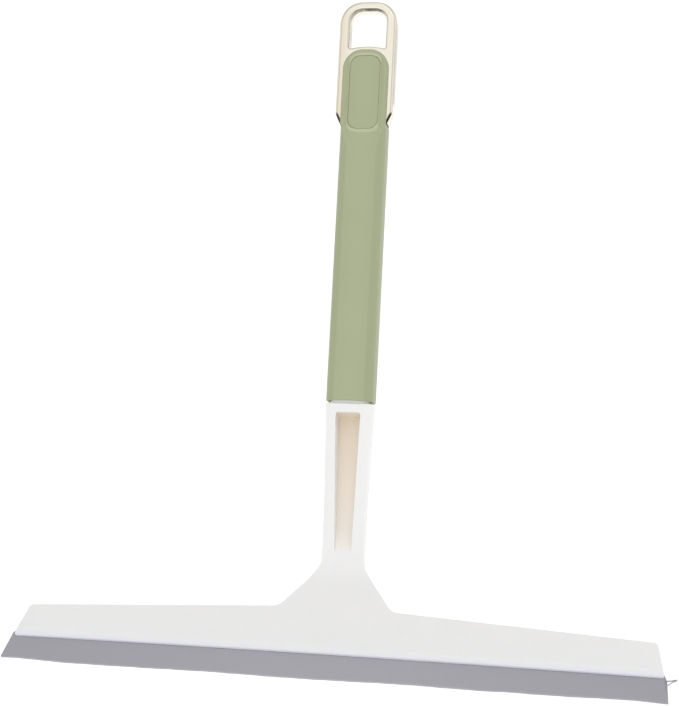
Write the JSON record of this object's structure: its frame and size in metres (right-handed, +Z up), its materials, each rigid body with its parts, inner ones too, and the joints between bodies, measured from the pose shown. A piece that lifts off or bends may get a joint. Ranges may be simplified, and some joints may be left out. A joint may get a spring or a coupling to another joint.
{
  "type": "window squeegee",
  "caption": "Window squeegee with a bent white head, slide-in rubber blade, sage green sleeve grip and a plated loop that hangs it on a hook.",
  "frame": {"origin": "the point of the hanging loop that a hook carries: middle of the window's top edge, half way through the ring", "axes": "+X along the blade, +Z up the handle, -Y the front, towards which the head is bent"},
  "size_m": [0.3006, 0.05, 0.3289],
  "materials": {
    "white_plastic": "satin moulded polypropylene",
    "grey_rubber": "matt soft rubber",
    "core_plastic": "extruded rod",
    "sage_plastic": "soft matt moulding",
    "sage_pad": "soft matt inlay",
    "gold_plating": "pale champagne plating, polished",
    "screw_steel": "zinc plated",
    "sage_plug": "soft matt moulding"
  },
  "bodies": {
    "handle": {"head_frame": "white_plastic", "grip_sleeve": "sage_plastic", "thumb_pad": "sage_pad", "hanging_ring": "gold_plating", "ring_screw": "screw_steel", "screw_plug": "sage_plug"},
    "blade_strip": {"blade": "grey_rubber", "blade_core_rod": "core_plastic"}
  },
  "joints": [
    {"name": "blade_slide", "type": "slide", "parent": "handle", "child": "blade_strip", "axis": [1, 0, 0], "range_m": [-0.3, 0.3]}
  ]
}
